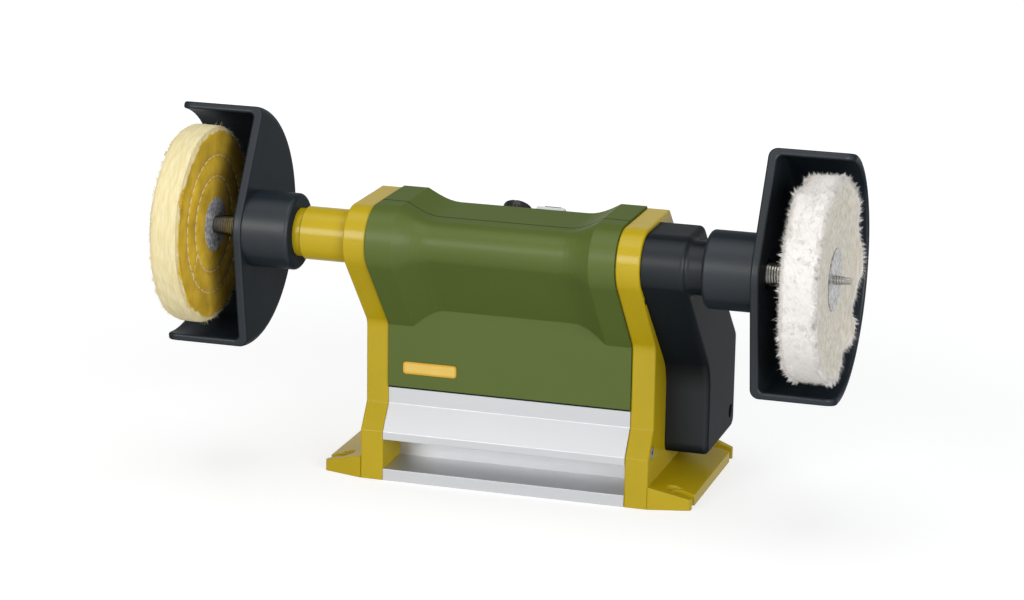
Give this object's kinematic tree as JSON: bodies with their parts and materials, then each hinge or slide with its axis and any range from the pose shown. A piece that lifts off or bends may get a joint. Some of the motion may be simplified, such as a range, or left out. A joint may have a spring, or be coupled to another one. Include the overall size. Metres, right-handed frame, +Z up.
{
  "type": "bench polishing machine",
  "caption": "Bench polisher: green motor hood between yellow cast end brackets, belt-driven spindle with tapered threaded ends, stitched and loose buffing wheels, swivelling black guards.",
  "frame": {"origin": "middle of the base's footprint, on the bench", "axes": "+X to the right along the spindle, +Y to the back, +Z up; seen from the front the user faces +Y"},
  "size_m": [0.349, 0.164, 0.1869],
  "materials": {
    "casting_yellow": "smooth powder coat on a die casting",
    "hood_green": "fine moulded satin",
    "cover_black": "fine moulded satin",
    "chassis_aluminium": "natural anodised extrusion",
    "spindle_steel": "turned and ground",
    "screw_steel": "zinc plated",
    "disc_steel": "matt zinc plated sheet",
    "bearing_steel": "ground rings with dark seals",
    "motor_steel": "zinc plated deep-drawn can",
    "motor_iron": "laminated core and dark sintered magnets",
    "winding_copper": "lacquered copper wire",
    "bush_brass": "oiled sintered bush",
    "brush_carbon": "pressed carbon",
    "cap_plastic": "moulded",
    "bell_aluminium": "as cast",
    "pulley_aluminium": "turned",
    "belt_rubber": "ribbed rubber",
    "muslin_yellow": "stitched cotton muslin with a cut frayed rim",
    "cotton_white": "loose brushed cotton",
    "knob_black": "moulded satin",
    "switch_grey": "moulded gloss",
    "rocker_black": "moulded gloss",
    "board_green": "laminated circuit board",
    "pot_steel": "stamped case",
    "gland_black": "moulded"
  },
  "bodies": {
    "frame": {"left_bracket": "casting_yellow", "right_bracket": "casting_yellow", "left_spindle_tube": "casting_yellow", "chassis": "chassis_aluminium", "front_shell": "hood_green", "rear_shell": "hood_green", "belt_cover": "cover_black", "frame_screws": "screw_steel", "hood_screws": "screw_steel", "cover_screws": "screw_steel", "motor_screws": "screw_steel", "motor_can": "motor_steel", "motor_end_bell": "bell_aluminium", "motor_brush_cap": "cap_plastic", "motor_brushes": "brush_carbon", "motor_magnets": "motor_iron", "motor_bearings": "bush_brass", "drive_belt": "belt_rubber", "bearing_outer_rings": "bearing_steel", "potentiometer": "pot_steel", "potentiometer_nut": "screw_steel", "switch_housing": "switch_grey", "control_board": "board_green", "cable_gland": "gland_black"},
    "spindle": {"spindle": "spindle_steel", "spindle_pulley": "pulley_aluminium", "spindle_circlips": "screw_steel", "bearing_inner_rings": "bearing_steel", "left_wheel": "muslin_yellow", "left_wheel_discs": "disc_steel", "right_wheel": "cotton_white", "right_wheel_discs": "disc_steel"},
    "rotor": {"motor_shaft": "spindle_steel", "motor_armature": "motor_iron", "motor_windings": "winding_copper", "motor_commutator": "winding_copper", "motor_pulley": "pulley_aluminium"},
    "left_guard": {"left_guard": "cover_black", "left_guard_screw": "screw_steel"},
    "right_guard": {"right_guard": "cover_black", "right_guard_screw": "screw_steel"},
    "speed_knob": {"speed_knob": "knob_black", "potentiometer_shaft": "pot_steel"},
    "rocker": {"rocker": "rocker_black"}
  },
  "joints": [
    {"name": "spindle_spin", "type": "hinge", "parent": "frame", "child": "spindle", "pos_m": [0, -0.0625, 0.1283], "axis": [1, 0, 0], "continuous": true},
    {"name": "motor_spin", "type": "hinge", "parent": "frame", "child": "rotor", "pos_m": [0, 0.014, 0.048], "axis": [1, 0, 0], "continuous": true},
    {"name": "left_guard_swivel", "type": "hinge", "parent": "frame", "child": "left_guard", "pos_m": [0, -0.0625, 0.1283], "axis": [1, 0, 0], "range_deg": [-90, 90]},
    {"name": "right_guard_swivel", "type": "hinge", "parent": "frame", "child": "right_guard", "pos_m": [0, -0.0625, 0.1283], "axis": [1, 0, 0], "range_deg": [-90, 90]},
    {"name": "speed_knob_turn", "type": "hinge", "parent": "frame", "child": "speed_knob", "pos_m": [-0.008, -0.00966, 0.13016], "axis": [0, 0.6884, 0.7254], "range_deg": [-270, 0]},
    {"name": "rocker_tilt", "type": "hinge", "parent": "frame", "child": "rocker", "pos_m": [0.013, -0.01229, 0.13059], "axis": [1, 0, 0], "range_deg": [0, 16]}
  ],
  "couplings": [
    {"joint": "motor_spin", "follows": "spindle_spin", "ratio": 1.6667}
  ]
}
